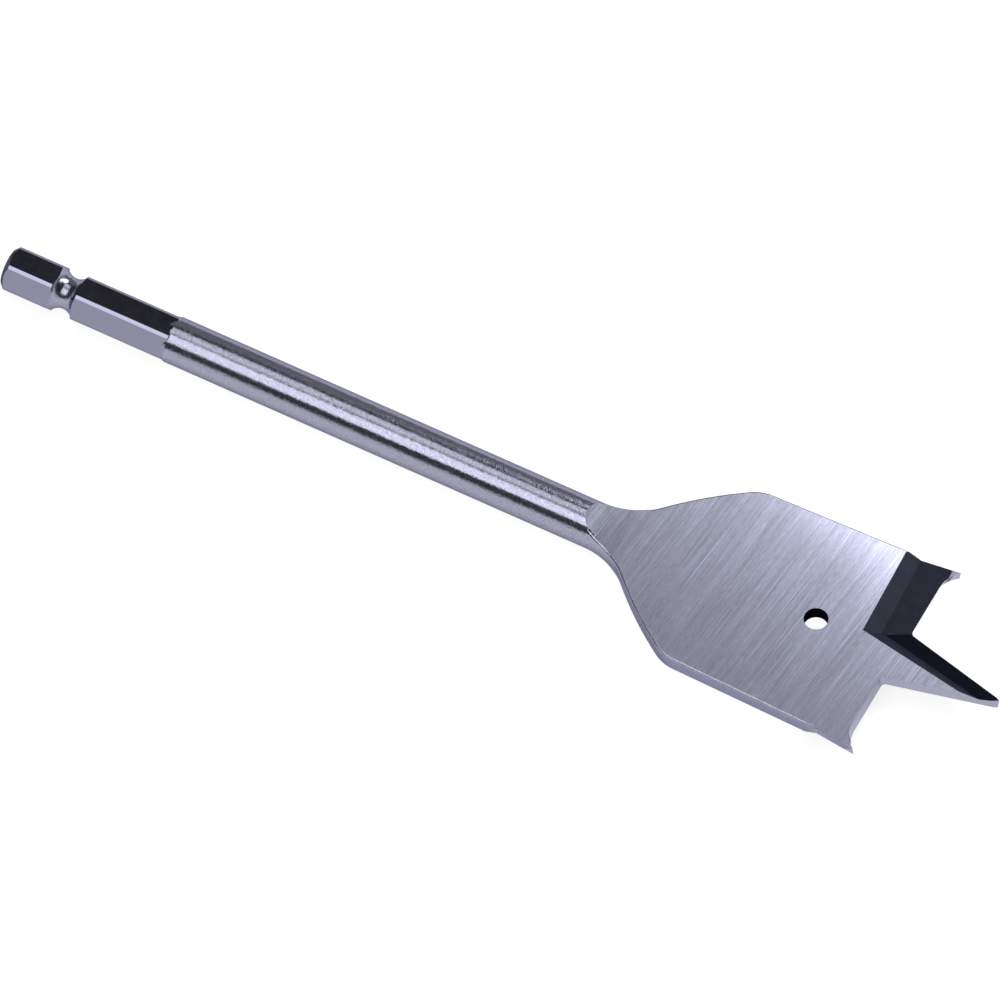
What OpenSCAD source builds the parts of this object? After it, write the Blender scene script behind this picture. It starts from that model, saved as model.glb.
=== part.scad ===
// Spade drill bit for wood, forged and ground from one steel bar.
// It lies along X with its tip at +X. The two flats of the blade face up (+Z) and down.
// The origin is on the axis, at the end of the shank.

/* [Overall] */
// Length from the end of the shank to the tip
length = 152; // [130:1:400]
// Diameter of the hole that the bit cuts, across its spurs
cut_dia = 32; // [28:1:40]

/* [Hex shank] */
// Width across the flats
hex_af = 6.3; // [6.2:0.05:6.5]
// Diameter over the rounded corners
hex_corner_dia = 7; // [6.9:0.02:7.15]
// Length of the hexagon
hex_len = 25.4; // [18:0.2:40]
// Chamfer on the end of the shank
shank_chamfer = 0.8; // [0.4:0.05:1]
// Distance from the end of the shank to the middle of the detent groove
detent_x = 9.3; // [7:0.1:12]
// Radius of the rounded detent groove
detent_r = 2; // [1.2:0.1:2.4]
// Diameter at the bottom of the detent groove
detent_dia = 4.6; // [4:0.1:5.4]

/* [Round shaft] */
// Diameter of the shaft
shaft_dia = 6.7; // [6.6:0.05:6.9]
// Length over which a hexagon flat rises to the shaft
shaft_run = 0.7; // [0.4:0.1:2]

/* [Blade] */
// Thickness between the two ground flats, at the cutting lips
blade_t = 2.2; // [1.9:0.1:3]
// Angle at which each flat rises towards the shaft
flat_taper = 0.4; // [0:0.1:0.8]
// How far inside the cut each shoulder lies
shoulder_set = 1.05; // [0.7:0.05:2.5]
// Distance from the tip back to where the shaft starts to widen
head_len = 61.8; // [56:0.2:80]
// Angle between flank and axis, where the flank leaves the neck
flank_angle = 45; // [38:1:52]
// Radius of the long curve of the flanks
flank_r = 60; // [40:1:90]
// Radius of the hollow between shaft and flank
neck_r = 10.2; // [6:0.2:13]
// Radius of the shoulders
shoulder_r = 6; // [2:0.5:10]
// Angle at which the sides spread towards the spurs
side_taper = 1.7; // [0:0.1:2]
// Distance from the start of the neck to where the flats reach full depth
flat_lead = 4.4; // [3:0.2:8]
// Radius of the ramp that leads from the shaft down to a flat
ramp_r = 9; // [5:0.5:16]
// Diameter of the pull hole
pull_hole_dia = 3.4; // [2:0.1:6]
// Distance from the tip to the pull hole
pull_hole_setback = 27.9; // [26:0.1:32]

/* [Cutting edges] */
// Length of the centre point, from the cutting lips to the tip
point_len = 15.6; // [12:0.1:18]
// Width of the point between the two lips
point_w = 8.4; // [7:0.1:11]
// Width of the point where its blunt end starts
tip_w = 0.7; // [0.6:0.1:2]
// Length of the blunt end
tip_len = 0.8; // [0.4:0.1:1.5]
// Radius in the corner between lip and point
root_r = 0.7; // [0.3:0.1:1.5]
// Height of a spur over its lip
spur_h = 1.6; // [0.6:0.05:2]
// Radius of the curve from lip to spur
spur_r = 4; // [3:0.1:6]
// Angle by which the walls behind the edges lean back
relief = 19; // [5:1:20]
// Direction in which they lean, from the axis outwards
relief_turn = 25; // [20:5:60]

/* [Hollow grind] */
// Width of the hollow behind a lip
lip_hollow_w = 5.9; // [4:0.1:7]
// Part of that width which is the ramp
lip_ramp_w = 2.1; // [1.2:0.1:3]
// Width of the hollow behind an edge of the point
point_hollow_w = 3.75; // [3:0.05:4.5]
// Part of that width which is the ramp
point_ramp_w = 1.75; // [1:0.05:2]
// Depth of the hollow at its deepest line
hollow_depth = 1.25; // [0.8:0.05:1.4]
// Depth at which the cutting edges lie
edge_depth = 0.85; // [0.5:0.05:1]
// Angle between the hollow and its lip
lip_hollow_turn = 2; // [0:0.5:5]
// Angle between the point's hollow and its edge
point_hollow_turn = 2; // [0:0.5:4]
// Angle at which the point's hollow rises to the tip
point_hollow_rise = 1.8; // [1.4:0.1:2.6]

/* [Hidden] */
$fn = 96;
arc_steps = 12;
cut_r = cut_dia / 2;
hex_corner_r = hex_corner_dia / 2;
shaft_r = shaft_dia / 2;
face_z = blade_t / 2;
neck_x = length - head_len;
flat_x = neck_x + flat_lead;
lip_x = length - point_len;
spur_x = lip_x + spur_h;
// The hexagon's corners end inside the shaft, on a cone of 45 degrees
corner_run = hex_corner_dia - shaft_dia;
// Arcs of the outline, with centres as pairs of radius and distance from the shank end
neck_centre = [shaft_r + neck_r, neck_x];
flank_centre = neck_centre + (neck_r + flank_r) * heading(180 - flank_angle);
shoulder_axis = cut_r - shoulder_set - shoulder_r * cos(side_taper);
shoulder_angle = acos((shoulder_axis - flank_centre[0]) / (flank_r - shoulder_r));
shoulder_x = flank_centre[1] - (flank_r - shoulder_r) * sin(shoulder_angle);
// The sides flare from the back of the hollow to the spurs
flare_x = lip_x - lip_hollow_w;
flare_r = cut_r - shoulder_set + (flare_x - shoulder_x) * tan(side_taper);
// Sharp corner between lip and point, and the direction of the point's edge
root = [lip_x, point_w / 2];
edge_angle = -atan((point_w - tip_w) / 2 / (point_len - tip_len));
spur_centre = [lip_x + spur_r, cut_r - sqrt(pow(spur_r, 2) - pow(spur_r - spur_h, 2))];
lean = [cos(relief_turn), sin(relief_turn)];
// The point's hollow narrows towards the tip as it rises
narrowing = atan(tan(point_hollow_rise) * point_ramp_w / hollow_depth);
// Line on which the hollows of lip and point meet, from the corner of their back edges to the root
lip_back = heading(180 + lip_hollow_turn);
point_back = heading(edge_angle + point_hollow_turn + narrowing - 90);
back_cos = lip_back * point_back;
back_corner = (lip_hollow_w * (lip_back - back_cos * point_back)
    + point_hollow_w * cos(narrowing) * (point_back - back_cos * lip_back)) / (1 - pow(back_cos, 2));
mitre_angle = atan2(-back_corner.y, -back_corner.x);
// Cutters reach this far past what they cut
spare = 2;

function heading(angle) = [cos(angle), sin(angle)];

function arc(centre, r, from, to) =
    [for (i = [0 : arc_steps]) centre + r * heading(from + (to - from) * i / arc_steps)];

// Carries a point of the plan to the plane that is square to the leaning walls
function square_on(p) = p - root - (1 - cos(relief)) * ((p - root) * lean) * lean;

// Turns a profile of radius and distance around the axis
module turned(profile) {
    rotate([0, 90, 0]) rotate_extrude() polygon(profile);
}

// Repeats its children half a turn round the axis
module both_halves() {
    for (turn = [0, 180]) rotate([turn, 0, 0]) children();
}

module detent_groove() {
    translate([detent_x, 0, 0]) rotate([0, 90, 0]) rotate_extrude()
        translate([detent_dia / 2 + detent_r, 0]) circle(detent_r);
}

module shank() {
    difference() {
        intersection() {
            rotate([0, 90, 0]) rotate(30) cylinder(d = hex_af / cos(30), h = hex_len + spare, $fn = 6);
            turned([
                [0, 0],
                [hex_corner_r - shank_chamfer, 0],
                [hex_corner_r, shank_chamfer],
                [hex_corner_r, hex_len],
                [hex_corner_r - corner_run, hex_len + corner_run],
                [0, hex_len + corner_run]
            ]);
        }
        detent_groove();
    }
}

// Shaft, neck and blade as turned, before the flats are ground
module blank() {
    turned(concat(
        [[0, hex_len - 2 * shaft_run], [hex_af - shaft_r, hex_len - 2 * shaft_run], [shaft_r, hex_len]],
        arc(neck_centre, neck_r, 180, 180 - flank_angle),
        arc(flank_centre, flank_r, -flank_angle, -shoulder_angle),
        arc([shoulder_axis, shoulder_x], shoulder_r, -shoulder_angle, -side_taper),
        [[flare_r, flare_x], [cut_r, spur_x], [cut_r, length + tip_len], [0, length + tip_len]]
    ));
}

// Metal over one flat, with the round ramp at the neck
module over_flat() {
    translate([lip_x, 0, face_z]) rotate([0, flat_taper, 0]) translate([flat_x - lip_x, 0, 0]) {
        translate([0, -cut_r - spare, 0]) cube([head_len, cut_dia + 2 * spare, cut_dia]);
        translate([0, 0, ramp_r]) rotate([90, 0, 0]) cylinder(r = ramp_r, h = cut_dia, center = true);
    }
}

module pull_hole() {
    translate([length - pull_hole_setback, 0, 0])
        cylinder(d = pull_hole_dia, h = 2 * blade_t, center = true);
}

// Open space in front of one lip, between the point and the spur
module notch() {
    fillet_centre = root + root_r / cos((90 + edge_angle) / 2) * heading((90 + edge_angle) / 2);
    past_tip = [length + 2 * tip_len, -tip_w];
    front = concat(
        [past_tip, [length - tip_len, tip_w / 2]],
        arc(fillet_centre, root_r, 270 + edge_angle, 180),
        arc(spur_centre, spur_r, 180, 90),
        [[past_tip.x, spur_centre.y + spur_r]]
    );
    translate(root) rotate(relief, [-lean.y, lean.x, 0])
        linear_extrude(cut_dia, center = true) polygon([for (p = front) square_on(p)]);
}

// Long cutter with the section of a hollow, its cutting edge along +Y through the origin
module hollow_cutter(width, ramp_w) {
    front = spur_h + spare;
    ramp_rise = spare * ramp_w / hollow_depth;
    floor_rise = front * (hollow_depth - edge_depth) / (width - ramp_w);
    rotate([90, 0, 0]) linear_extrude(2 * cut_dia, center = true) polygon([
        [-width - ramp_rise, face_z + spare],
        [ramp_w - width, face_z - hollow_depth],
        [front, face_z - edge_depth + floor_rise],
        [front, face_z + spare]
    ]);
}

// Everything on one side of the line where the two hollows meet
module beside_mitre(side) {
    rotate(mitre_angle) translate([0, side * cut_r, 0])
        cube([2 * cut_dia, cut_dia, 4 * blade_t], center = true);
}

// Hollow ground behind one lip and the edge of the point next to it
module hollow() {
    translate(root) {
        intersection() {
            rotate(lip_hollow_turn) hollow_cutter(lip_hollow_w, lip_ramp_w);
            beside_mitre(1);
        }
        intersection() {
            rotate(edge_angle + point_hollow_turn)
                translate([0, 0, face_z]) rotate([0, -point_hollow_rise, 0]) translate([0, 0, -face_z])
                rotate(90) hollow_cutter(point_hollow_w, point_ramp_w);
            beside_mitre(-1);
        }
    }
}

module spade_bit() {
    color("silver") difference() {
        union() {
            shank();
            blank();
        }
        pull_hole();
        both_halves() {
            over_flat();
            notch();
            hollow();
        }
    }
}

spade_bit();
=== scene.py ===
import math

import bmesh
import bpy
from bpy.props import FloatProperty, FloatVectorProperty, PointerProperty
from mathutils import Matrix, Quaternion, Vector


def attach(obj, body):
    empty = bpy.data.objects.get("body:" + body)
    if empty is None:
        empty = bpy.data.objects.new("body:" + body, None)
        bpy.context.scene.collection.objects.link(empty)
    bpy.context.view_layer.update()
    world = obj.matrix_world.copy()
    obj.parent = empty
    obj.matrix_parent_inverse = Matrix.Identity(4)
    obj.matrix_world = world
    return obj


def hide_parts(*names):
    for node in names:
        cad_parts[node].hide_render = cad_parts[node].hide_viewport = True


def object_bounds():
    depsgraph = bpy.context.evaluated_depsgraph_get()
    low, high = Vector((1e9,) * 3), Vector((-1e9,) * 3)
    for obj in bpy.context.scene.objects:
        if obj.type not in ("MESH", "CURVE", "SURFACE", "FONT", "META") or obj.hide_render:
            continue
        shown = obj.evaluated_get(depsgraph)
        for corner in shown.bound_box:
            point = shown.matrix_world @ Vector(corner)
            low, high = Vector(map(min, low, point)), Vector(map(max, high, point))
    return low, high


bl_info = {
    "name": "Spade Drill Bit",
    "version": (1, 0, 0),
    "blender": (4, 5, 0),
    "location": "3D View > Sidebar > Spade Bit",
    "description": "Finishes a forged and ground spade drill bit and sets it on a studio floor",
    "category": "Object",
}

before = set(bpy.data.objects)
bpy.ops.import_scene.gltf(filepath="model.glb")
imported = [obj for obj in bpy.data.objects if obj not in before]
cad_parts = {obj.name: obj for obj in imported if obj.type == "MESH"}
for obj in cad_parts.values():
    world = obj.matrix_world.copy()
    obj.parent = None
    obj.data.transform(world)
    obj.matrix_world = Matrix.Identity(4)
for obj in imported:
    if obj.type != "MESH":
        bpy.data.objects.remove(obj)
CAD_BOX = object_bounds()
CAD_MIDDLE = (CAD_BOX[0] + CAD_BOX[1]) / 2
MM = 0.001

# Stations along the bit, as in the part
DETENT_X, HEX_X, NECK_X = 9.3 * MM, 25.4 * MM, 90.2 * MM
HOLE_X, LIP_X = 124.1 * MM, 136.4 * MM
HOLE_R = 1.7 * MM
# End of the ramps that lead from the shaft down to the flats
RAMP_X = NECK_X + 6 * MM

# Radii that part the faces of the shank: the groove's bottom, the shaft's start and the outside
GROOVE_R, SHAFT_R, SHANK_R = 2.9 * MM, 3.3 * MM, 3.6 * MM

# Distances from the axis that part the faces of the blade: neck, spur and outer side
NECK_Y, SPUR_Y, SIDE_Y = 5 * MM, 10 * MM, 14.5 * MM

# Parts of a noise's range that a finish answers to
WIDE, NARROW = (0.3, 0.7), (0.35, 0.65)

# Steel mirrors less at a flat angle than a plain metal shader does. The strength is set.
GRAZING = (0.4, 0.4, 0.46, 1)

# Length of the normal's upright part from which a face counts as level, with the flats' taper
LEVEL = 0.9995

# Point that the camera looks at
AIM = Vector((76.536, -1.713, -1.102)) * MM

# Softboxes: lowest and highest angle from overhead in degrees, start and end along the bit and
# distance in metres, and radiance
SOFTBOXES = {
    "key softbox": (10, 51, -0.45, 0.15, 0.7, 2.2),
    "fill softbox": (-24, 2, -0.45, 0.15, 0.7, 1.45),
    "rim softbox": (-75, -40, -0.9, 0.9, 0.8, 0.25),
    "back softbox": (-50, -31, -0.03, 0.42, 0.33, 6),
}

# Order of the finishes in the bit's material slots
HEX, BAR, FLAT, SIDE, LIP, DARK, EDGE, END = range(8)


def linear(code):
    """Linear RGB of an sRGB hex colour."""
    parts = [int(code[i : i + 2], 16) / 255 for i in (0, 2, 4)]
    return tuple(p / 12.92 if p <= 0.04045 else ((p + 0.055) / 1.055) ** 2.4 for p in parts)


def empty_tree(block):
    """Gives a material or a world an empty node tree."""
    block.use_nodes = True
    block.node_tree.nodes.clear()
    return block.node_tree


def add_node(tree, kind, inputs=None, **settings):
    """Adds a node, sets its properties and fills its sockets with values or links."""
    made = tree.nodes.new(kind)
    for name, value in settings.items():
        setattr(made, name, value)
    for socket, value in (inputs or {}).items():
        named = [slot for slot in made.inputs if slot.enabled and slot.name == socket]
        target = named[0] if named else made.inputs[socket]
        if isinstance(value, bpy.types.NodeSocket):
            tree.links.new(value, target)
        else:
            target.default_value = value
    return made


def add_noise(tree, place, scale, detail, roughness=0.6):
    """Noise on a place, with its scale in patches to a unit of that place."""
    inputs = {"Vector": place, "Scale": scale, "Detail": detail, "Roughness": roughness}
    return add_node(tree, "ShaderNodeTexNoise", inputs).outputs["Fac"]


def add_range(tree, value, source, target, **settings):
    """Carries a value from one range over to another."""
    inputs = {
        "Value": value,
        "From Min": source[0],
        "From Max": source[1],
        "To Min": target[0],
        "To Max": target[1],
    }
    return add_node(tree, "ShaderNodeMapRange", inputs, **settings).outputs["Result"]


def add_math(tree, operation, *values):
    """Does arithmetic on values or links."""
    inputs = dict(enumerate(values))
    return add_node(tree, "ShaderNodeMath", inputs, operation=operation).outputs[0]


def add_tint(tree, colour, shade):
    """A colour times a shade."""
    inputs = {0: (*colour,), "Scale": shade}
    return add_node(tree, "ShaderNodeVectorMath", inputs, operation="SCALE").outputs["Vector"]


def add_bump(tree, height, strength, distance):
    """Fine relief from a height."""
    inputs = {"Height": height, "Strength": strength, "Distance": distance}
    return add_node(tree, "ShaderNodeBump", inputs).outputs["Normal"]


def add_skin(tree, inputs):
    """Ends a material's tree with its shader."""
    skin = add_node(tree, "ShaderNodeBsdfPrincipled", inputs)
    add_node(tree, "ShaderNodeOutputMaterial", {"Surface": skin.outputs["BSDF"]})


class SpadeBitFinish(bpy.types.PropertyGroup):
    """Sizes and colours of the bit's finishes"""

    edge_break: FloatProperty(
        name="Edge break",
        description="Width of the broken edges round the blade",
        default=0.27 * MM,
        unit="LENGTH",
        precision=5,
    )
    grind_pitch: FloatProperty(
        name="Grind pitch",
        description="Distance between the grinding lines on the flats",
        default=0.22 * MM,
        unit="LENGTH",
        precision=5,
    )
    grind_angle: FloatProperty(
        name="Grind angle",
        description="Angle between the grinding lines and the line square to the axis",
        default=math.radians(6),
        subtype="ANGLE",
    )
    hex_colour: FloatVectorProperty(
        name="Hexagon",
        description="Colour of the polished hexagon",
        default=linear("8A8A9F"),
        subtype="COLOR",
    )
    bar_colour: FloatVectorProperty(
        name="Bar",
        description="Colour of the bright ground bar",
        default=linear("9797AA"),
        subtype="COLOR",
    )
    flat_colour: FloatVectorProperty(
        name="Flats",
        description="Colour of the ground flats",
        default=linear("B4B6CC"),
        subtype="COLOR",
    )
    # A little darker than the bar, as painted shade for the shadowed floor that the blade's walls
    # mirror
    side_colour: FloatVectorProperty(
        name="Sides",
        description="Colour of the sides of the blade",
        default=linear("8E8EA6"),
        subtype="COLOR",
    )
    lip_colour: FloatVectorProperty(
        name="Lip hollow",
        description="Colour of the hollow behind a lip",
        default=linear("212431"),
        subtype="COLOR",
    )
    # Also used for the wall of the hole, where its dark is painted shade
    dark_colour: FloatVectorProperty(
        name="Point hollow",
        description="Colour of the hollow on the point",
        default=linear("131520"),
        subtype="COLOR",
    )
    end_colour: FloatVectorProperty(
        name="Shank end",
        description="Colour of the turned shank end",
        default=linear("50505A"),
        subtype="COLOR",
    )
    edge_colour: FloatVectorProperty(
        name="Edges",
        description="Colour of the ground walls behind the edges",
        default=linear("9C9CB0"),
        subtype="COLOR",
    )


class SpadeBitStage(bpy.types.PropertyGroup):
    """Camera, floor and room"""

    azimuth: FloatProperty(
        name="Azimuth",
        description="Direction of the camera round the bit",
        default=math.radians(27.386),
        subtype="ANGLE",
    )
    elevation: FloatProperty(
        name="Elevation",
        description="Height of the camera over the floor",
        default=math.radians(58.052),
        subtype="ANGLE",
    )
    roll: FloatProperty(
        name="Roll",
        description="Turn of the camera round its own axis",
        default=math.radians(0.121),
        subtype="ANGLE",
    )
    distance: FloatProperty(
        name="Distance",
        description="Distance of the camera",
        default=5.0,
        unit="LENGTH",
    )
    view_width: FloatProperty(
        name="View width",
        description="Width of the view at the bit",
        default=136.355 * MM,
        unit="LENGTH",
        precision=5,
    )
    floor_radius: FloatProperty(
        name="Floor radius",
        description="Radius of the round floor",
        default=4.0,
        unit="LENGTH",
    )
    horizon: FloatProperty(
        name="Horizon",
        description="Height up to which the room is white",
        default=math.radians(8.7),
        subtype="ANGLE",
    )


def hex_steel(look):
    """Polished steel of the hexagon.

    Milled and polished flats work as plain mirrors, so each one takes on one tone of the room.
    """
    made = bpy.data.materials.new("polished steel")
    tree = empty_tree(made)
    place = add_node(tree, "ShaderNodeTexCoord").outputs["Object"]
    # Faint polishing haze of 1.5 mm
    haze = add_noise(tree, place, 650, 3)
    inputs = {
        "Base Color": (*look.hex_colour, 1),
        "Metallic": 1,
        "Roughness": add_range(tree, haze, WIDE, (0.08, 0.12)),
        "Specular Tint": GRAZING,
    }
    add_skin(tree, inputs)
    return made


def bar_steel(name, colour):
    """Bright steel bar, ground round its axis.

    The wheel leaves short lines round the bar and a fine speckle, so reflections have ragged edges.
    """
    made = bpy.data.materials.new(name)
    tree = empty_tree(made)
    place = add_node(tree, "ShaderNodeTexCoord").outputs["Object"]
    # Short lines round the bar, 0.2 mm wide and 0.4 mm long. Finer ones would not show.
    around = add_node(tree, "ShaderNodeMapping", {"Vector": place, "Scale": (4500, 2500, 2500)})
    lines = add_noise(tree, around.outputs[0], 1, 2)
    # Speckle of 0.15 mm
    speckle = add_noise(tree, place, 6500, 1, 0.5)
    inputs = {
        "Base Color": add_tint(tree, colour, add_range(tree, speckle, WIDE, (0.78, 1.22))),
        "Metallic": 1,
        "Roughness": add_range(tree, lines, WIDE, (0.12, 0.24)),
        "Specular Tint": GRAZING,
        "Normal": add_bump(tree, lines, 0.8, 0.04 * MM),
    }
    add_skin(tree, inputs)
    return made


def flat_steel(look):
    """Surface-ground blade steel.

    The wheel crosses the blade and leaves fine streaks of uneven width and length, so the flat is
    a satin grey that turns brighter or darker from streak to streak. It mirrors only along them.
    """
    made = bpy.data.materials.new("surface ground steel")
    tree = empty_tree(made)
    place = add_node(tree, "ShaderNodeTexCoord").outputs["Object"]
    turn = {"Vector": place, "Rotation": (0, 0, look.grind_angle)}
    turned = add_node(tree, "ShaderNodeMapping", turn).outputs[0]
    # Width and length, in grind pitches, and detail of grain, lines, broad bands and scratches
    layers = []
    for width, length, detail in ((0.4, 5, 2), (0.55, 40, 2), (4, 150, 3), (0.45, 100, 1)):
        across, along = 1 / (width * look.grind_pitch), 1 / (length * look.grind_pitch)
        stretch = {"Vector": turned, "Scale": (across, along, along)}
        drawn = add_node(tree, "ShaderNodeMapping", stretch).outputs[0]
        layers.append(add_noise(tree, drawn, 1, detail, 0.65))
    grain, lines, bands, scratches = layers
    fine = add_node(tree, "ShaderNodeMix", {"Factor": 0.5, "A": grain, "B": lines})
    fine = fine.outputs["Result"]
    streaks = add_node(tree, "ShaderNodeMix", {"Factor": 0.25, "A": fine, "B": bands})
    streaks = streaks.outputs["Result"]
    shade = add_range(tree, streaks, NARROW, (0.6, 1.35))
    # Only the peaks of their noise show as bright scratches
    shade = add_math(tree, "ADD", shade, add_range(tree, scratches, (0.58, 0.72), (0, 0.6)))
    # Painted shade: the flats' colour drops to a fifth at the ramp by the neck and comes back to
    # full within about 6 mm past it
    station = add_node(tree, "ShaderNodeSeparateXYZ", {0: place}).outputs["X"]
    ramp = (NECK_X + 0.8 * MM, NECK_X + 6.3 * MM)
    painted_neck_shade = add_range(tree, station, ramp, (0.2, 1), interpolation_type="SMOOTHSTEP")
    tangent = add_node(tree, "ShaderNodeTangent", direction_type="UV_MAP", uv_map="grind")
    inputs = {
        "Base Color": add_tint(tree, look.flat_colour, add_math(tree, "MULTIPLY", shade, painted_neck_shade)),
        "Metallic": 1,
        "Roughness": add_range(tree, streaks, NARROW, (0.31, 0.285)),
        "Anisotropic": 0.88,
        "Tangent": tangent.outputs[0],
        "Normal": add_bump(tree, fine, 0.25, 0.03 * MM),
    }
    add_skin(tree, inputs)
    return made


def hollow_steel(name, dark, bare, gloss):
    """Steel blackened by the heat of hollow grinding.

    A thin black oxide lies over a fine grind, so it is nearly black with a faint brown and blue
    cast. The spurs are ground bare again, up to an uneven border.
    """
    made = bpy.data.materials.new(name)
    tree = empty_tree(made)
    place = add_node(tree, "ShaderNodeTexCoord").outputs["Object"]
    # Clouds of 2 mm
    cast = add_node(tree, "ShaderNodeValToRGB", {"Fac": add_noise(tree, place, 500, 4)})
    brown, blue = cast.color_ramp.elements
    brown.position, blue.position = NARROW
    brown.color = (dark[0], dark[1] * 0.92, dark[2] * 0.85, 1)
    blue.color = (*(c * 1.25 for c in dark), 1)
    # Bare from about 0.5 mm in front of the lip, with a border that the noise shifts by up to
    # 0.4 mm either way, and only out at the spurs
    station = add_node(tree, "ShaderNodeSeparateXYZ", {0: place})
    uneven = add_noise(tree, place, 1200, 3)
    shifted = add_math(tree, "MULTIPLY_ADD", uneven, 0.8 * MM, station.outputs["X"])
    border = LIP_X + 0.9 * MM
    ground = add_range(tree, shifted, (border - 0.05 * MM, border + 0.05 * MM), (0, 1))
    off_axis = add_math(tree, "ABSOLUTE", station.outputs["Y"])
    at_spur = add_math(tree, "GREATER_THAN", off_axis, SPUR_Y)
    ground = add_math(tree, "MULTIPLY", ground, at_spur)
    mix = {"Factor": ground, "A": cast.outputs["Color"], "B": (*bare, 1)}
    colour = add_node(tree, "ShaderNodeMix", mix, data_type="RGBA")
    inputs = {
        "Base Color": colour.outputs["Result"],
        "Metallic": ground,
        "Roughness": 0.36,
        "Specular IOR Level": gloss,
        "Specular Tint": (0.7, 0.76, 1, 1),
    }
    add_skin(tree, inputs)
    return made


def edge_steel(look):
    """Walls behind the cutting edges, ground bright after the hollows."""
    made = bpy.data.materials.new("fine ground steel")
    tree = empty_tree(made)
    place = add_node(tree, "ShaderNodeTexCoord").outputs["Object"]
    # Grit of 0.3 mm
    grit = add_noise(tree, place, 3000, 3)
    inputs = {
        "Base Color": (*look.edge_colour, 1),
        "Metallic": 1,
        "Roughness": add_range(tree, grit, WIDE, (0.25, 0.4)),
    }
    add_skin(tree, inputs)
    return made


def studio_paper():
    """White studio paper.

    The camera and mirrors see it evenly lit from behind, with the soft shadow of the bit. All
    other light meets plain matt paper.
    """
    made = bpy.data.materials.new("white studio paper")
    tree = empty_tree(made)
    ray = add_node(tree, "ShaderNodeLightPath").outputs
    seen = add_math(tree, "MAXIMUM", ray["Is Camera Ray"], ray["Is Glossy Ray"])
    seen = add_math(tree, "MAXIMUM", seen, ray["Is Transmission Ray"])
    plain = add_node(tree, "ShaderNodeBsdfDiffuse", {"Color": (0.8, 0.8, 0.8, 1)})
    soft = add_node(tree, "ShaderNodeBsdfDiffuse", {"Color": (0.3, 0.3, 0.3, 1)})
    glow = add_node(tree, "ShaderNodeEmission", {"Color": (1, 1, 1, 1), "Strength": 0.86})
    bright = add_node(tree, "ShaderNodeAddShader", {0: soft.outputs[0], 1: glow.outputs[0]})
    mix = {0: seen, 1: plain.outputs[0], 2: bright.outputs[0]}
    paper = add_node(tree, "ShaderNodeMixShader", mix)
    add_node(tree, "ShaderNodeOutputMaterial", {"Surface": paper.outputs[0]})
    return made


def shank_finish(middle, normal, radius):
    """Which finish a face of the hex shank has."""
    if normal.x < -0.3 and middle.x < 1 * MM:
        return END
    on_shaft = middle.x > HEX_X - 0.8 * MM and radius > SHAFT_R
    in_groove = abs(middle.x - DETENT_X) < 2.1 * MM and abs(normal.x) > 0.05
    return BAR if on_shaft or in_groove or radius < GROOVE_R else HEX


def finish_of(face):
    """Which finish a face of the bit has, by its place and the way it looks."""
    middle, normal = face.calc_center_median(), face.normal
    radius = math.hypot(middle.y, middle.z)
    if middle.x < HEX_X + 0.3 * MM and radius < SHANK_R:
        return shank_finish(middle, normal, radius)
    on_flat = middle.x > NECK_X and abs(normal.z) > LEVEL
    at_neck = NECK_X - 2 * MM < middle.x < NECK_X + 5 * MM
    on_ramp = at_neck and normal.x > 0.02 and abs(normal.y) < 0.01 and abs(normal.z) > 0.5
    if on_flat or on_ramp:
        return FLAT
    # The wall of the hole takes the point's near-black steel as painted shade, for the shadowed
    # floor it would mirror
    if math.hypot(middle.x - HOLE_X, middle.y) < HOLE_R + 0.1 * MM:
        return DARK
    if middle.x > HOLE_X:
        in_hollow = abs(normal.z) > 0.6
        if in_hollow:
            # The floor on the point is darker than the ramps and the floor behind a lip
            on_slope, behind_lip = abs(normal.z) < 0.9, abs(normal.y) < 0.06
            return LIP if on_slope or behind_lip else DARK
        if abs(middle.y) < SIDE_Y or middle.x > LIP_X + 0.6 * MM:
            return EDGE
    return SIDE if abs(middle.y) > NECK_Y else BAR


def is_rim(edge):
    """Whether an edge lies round a flat, between the neck and the hollows, and is broken.

    The trailing edge of a ramp stays crisp.
    """
    start, end = sorted((vert.co for vert in edge.verts), key=lambda co: co.x)
    on_blade = start.x >= NECK_X and end.x < LIP_X - 5 * MM
    trailing = end.x < RAMP_X and start.y * start.z > 0
    finishes = {face.material_index for face in edge.link_faces}
    round_flat = finishes in ({FLAT, BAR}, {FLAT, SIDE})
    return round_flat and not edge.smooth and on_blade and not trailing


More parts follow.
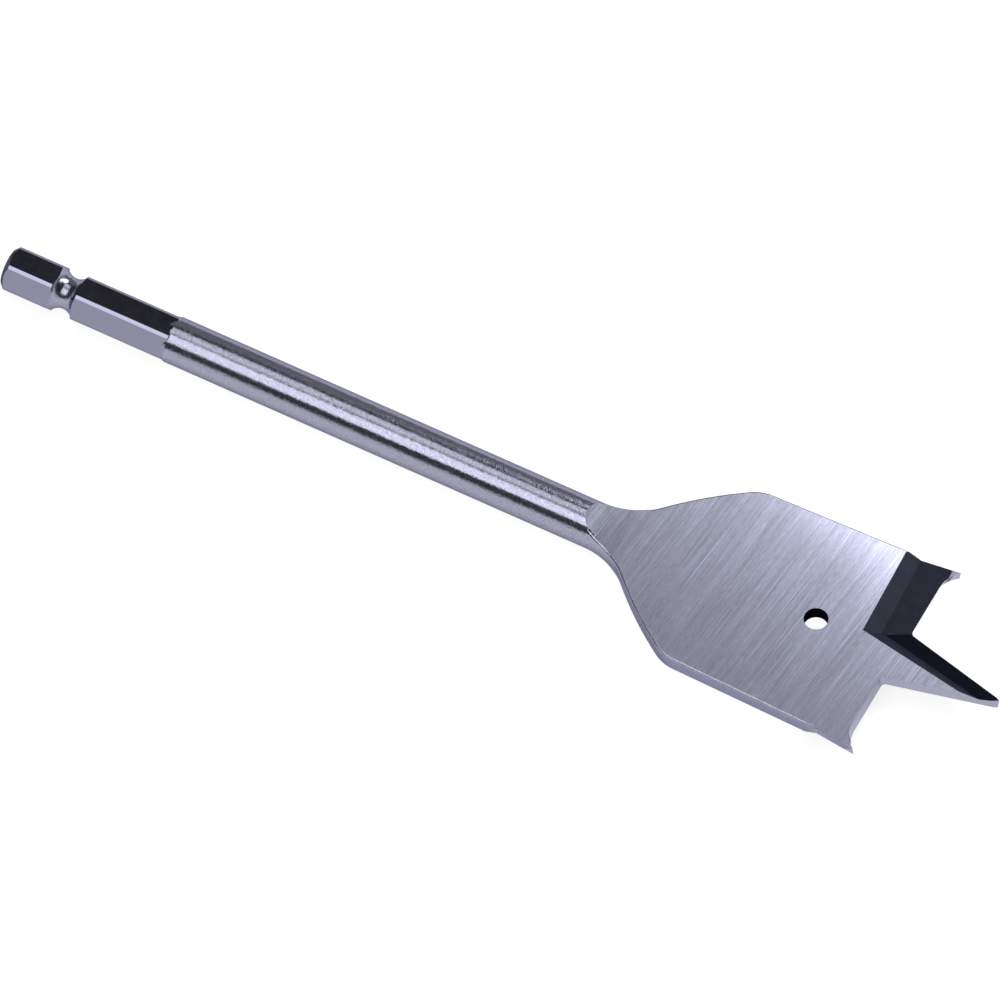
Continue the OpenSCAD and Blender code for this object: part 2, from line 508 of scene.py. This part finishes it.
class SPADEBIT_OT_bit(bpy.types.Operator):
    """Dresses the bit with its broken edges and finishes"""

    bl_idname = "spadebit.bit"
    bl_label = "Spade Bit"

    def execute(self, context):
        look = context.scene.spade_bit_finish
        mesh = bpy.data.meshes.new("bit")
        shape = bmesh.new()
        shape.from_mesh(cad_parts["spade_bit"].data)
        self.sort_faces(shape, look)
        self.break_edges(shape, look)
        shape.to_mesh(mesh)
        shape.free()
        # In the order of the slots
        for steel in (
            hex_steel(look),
            bar_steel("bright ground bar", look.bar_colour),
            flat_steel(look),
            # The sides are the bar's steel in a slightly darker colour, as painted shade
            bar_steel("side steel with painted shade", look.side_colour),
            hollow_steel("blackened lip steel", look.lip_colour, look.edge_colour, 0.11),
            # Also on the wall of the hole, where its dark is painted shade
            hollow_steel("blackened point steel and painted hole shade", look.dark_colour, look.dark_colour, 0),
            edge_steel(look),
            bar_steel("dark turned steel", look.end_colour),
        ):
            mesh.materials.append(steel)
        bit = bpy.data.objects.new("bit", mesh)
        context.scene.collection.objects.link(bit)
        even = bit.modifiers.new("even shading", "WEIGHTED_NORMAL")
        even.keep_sharp = True
        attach(bit, "root")
        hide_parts("spade_bit")
        return {"FINISHED"}

    def sort_faces(self, shape, look):
        """Joins the solid's triangles into faces, and gives each its finish and grinding lines."""
        bmesh.ops.remove_doubles(shape, verts=shape.verts, dist=0.001 * MM)
        bmesh.ops.dissolve_limit(
            shape,
            angle_limit=math.radians(0.3),
            verts=shape.verts,
            edges=shape.edges,
            delimit=set(),
        )
        grind = shape.loops.layers.uv.new("grind")
        turn = Matrix.Rotation(look.grind_angle, 2)
        for face in shape.faces:
            face.material_index = finish_of(face)
            face.smooth = True
            for loop in face.loops:
                loop[grind].uv = turn @ loop.vert.co.xy / MM
        for edge in shape.edges:
            edge.smooth = edge.calc_face_angle(0) < math.radians(14)

    def break_edges(self, shape, look):
        """Rounds the edges round the flats a little."""
        broken = bmesh.ops.bevel(
            shape,
            geom=[edge for edge in shape.edges if is_rim(edge)],
            offset=look.edge_break,
            offset_type="OFFSET",
            segments=4,
            profile=0.5,
            affect="EDGES",
            clamp_overlap=False,
            material=-1,
        )
        for face in broken["faces"]:
            face.material_index = BAR
            face.smooth = True
            for edge in face.edges:
                edge.smooth = True


class SPADEBIT_OT_stage(bpy.types.Operator):
    """Sets up the floor, the lamps, the world and the camera"""

    bl_idname = "spadebit.stage"
    bl_label = "Stage"

    def execute(self, context):
        scene = context.scene
        stage = scene.spade_bit_stage
        scene.view_settings.view_transform = "Standard"
        self.floor(scene, stage)
        self.lamps(scene)
        self.world(scene, stage)
        self.camera(scene, stage)
        return {"FINISHED"}

    def floor(self, scene, stage):
        """White round floor under the bit."""
        shape = bmesh.new()
        bmesh.ops.create_circle(shape, cap_ends=True, radius=stage.floor_radius, segments=96)
        under = (CAD_MIDDLE.x, CAD_MIDDLE.y, CAD_BOX[0].z)
        bmesh.ops.translate(shape, verts=shape.verts, vec=under)
        mesh = bpy.data.meshes.new("floor")
        shape.to_mesh(mesh)
        shape.free()
        mesh.materials.append(studio_paper())
        floor = bpy.data.objects.new("floor", mesh)
        scene.collection.objects.link(floor)

    def lamps(self, scene):
        """Long softboxes along the bit, and a close one behind the blade."""
        for name, (low, high, start, end, distance, radiance) in SOFTBOXES.items():
            lean, half = math.radians((low + high) / 2), math.radians((high - low) / 2)
            lamp = bpy.data.lights.new(name, "AREA")
            lamp.shape = "RECTANGLE"
            lamp.size, lamp.size_y = end - start, 2 * distance * math.tan(half)
            lamp.energy = radiance * math.pi * lamp.size * lamp.size_y
            box = bpy.data.objects.new(name, lamp)
            box.location = CAD_MIDDLE + Vector(
                ((start + end) / 2, -distance * math.sin(lean), distance * math.cos(lean))
            )
            box.rotation_euler = (lean, 0, 0)
            box.visible_camera = False
            scene.collection.objects.link(box)

    def world(self, scene, stage):
        """Dim room whose walls are white up to a little over the floor."""
        room = bpy.data.worlds.new("dim room")
        tree = empty_tree(room)
        way = add_node(tree, "ShaderNodeTexCoord").outputs["Generated"]
        height = add_node(tree, "ShaderNodeSeparateXYZ", {0: way}).outputs["Z"]
        rise = math.sin(stage.horizon)
        white = add_range(tree, height, (0.85 * rise, 1.15 * rise), (1, 0.05))
        light = {"Color": (1, 1, 1, 1), "Strength": white}
        air = add_node(tree, "ShaderNodeBackground", light)
        add_node(tree, "ShaderNodeOutputWorld", {"Surface": air.outputs[0]})
        scene.world = room

    def camera(self, scene, stage):
        """Long lens from the photograph's side."""
        azimuth, elevation = stage.azimuth, stage.elevation
        back = Vector(
            (
                math.sin(azimuth) * math.cos(elevation),
                -math.cos(azimuth) * math.cos(elevation),
                math.sin(elevation),
            )
        )
        lens = bpy.data.cameras.new("camera")
        lens.sensor_width = 36
        lens.lens = lens.sensor_width * stage.distance / stage.view_width
        lens.clip_start, lens.clip_end = 0.1, 50
        camera = bpy.data.objects.new("camera", lens)
        camera.location = AIM + back * stage.distance
        camera.rotation_mode = "QUATERNION"
        level = (-back).to_track_quat("-Z", "Y")
        camera.rotation_quaternion = Quaternion(back, stage.roll) @ level
        scene.collection.objects.link(camera)
        scene.camera = camera


class SPADEBIT_PT_panel(bpy.types.Panel):
    """Sizes, colours and operators of the spade bit"""

    bl_idname = "SPADEBIT_PT_panel"
    bl_label = "Spade Bit"
    bl_space_type = "VIEW_3D"
    bl_region_type = "UI"
    bl_category = "Spade Bit"

    def draw(self, context):
        for group in (context.scene.spade_bit_finish, context.scene.spade_bit_stage):
            column = self.layout.column(align=True)
            for name in group.__annotations__:
                column.prop(group, name)
        for operator in (SPADEBIT_OT_bit, SPADEBIT_OT_stage):
            self.layout.operator(operator.bl_idname)


CLASSES = (SpadeBitFinish, SpadeBitStage, SPADEBIT_OT_bit, SPADEBIT_OT_stage, SPADEBIT_PT_panel)


def register():
    for cls in CLASSES:
        bpy.utils.register_class(cls)
    bpy.types.Scene.spade_bit_finish = PointerProperty(type=SpadeBitFinish)
    bpy.types.Scene.spade_bit_stage = PointerProperty(type=SpadeBitStage)


def unregister():
    del bpy.types.Scene.spade_bit_stage
    del bpy.types.Scene.spade_bit_finish
    for cls in reversed(CLASSES):
        bpy.utils.unregister_class(cls)


def main():
    register()
    bpy.ops.spadebit.stage()
    bpy.ops.spadebit.bit()


if __name__ == "__main__":
    main()
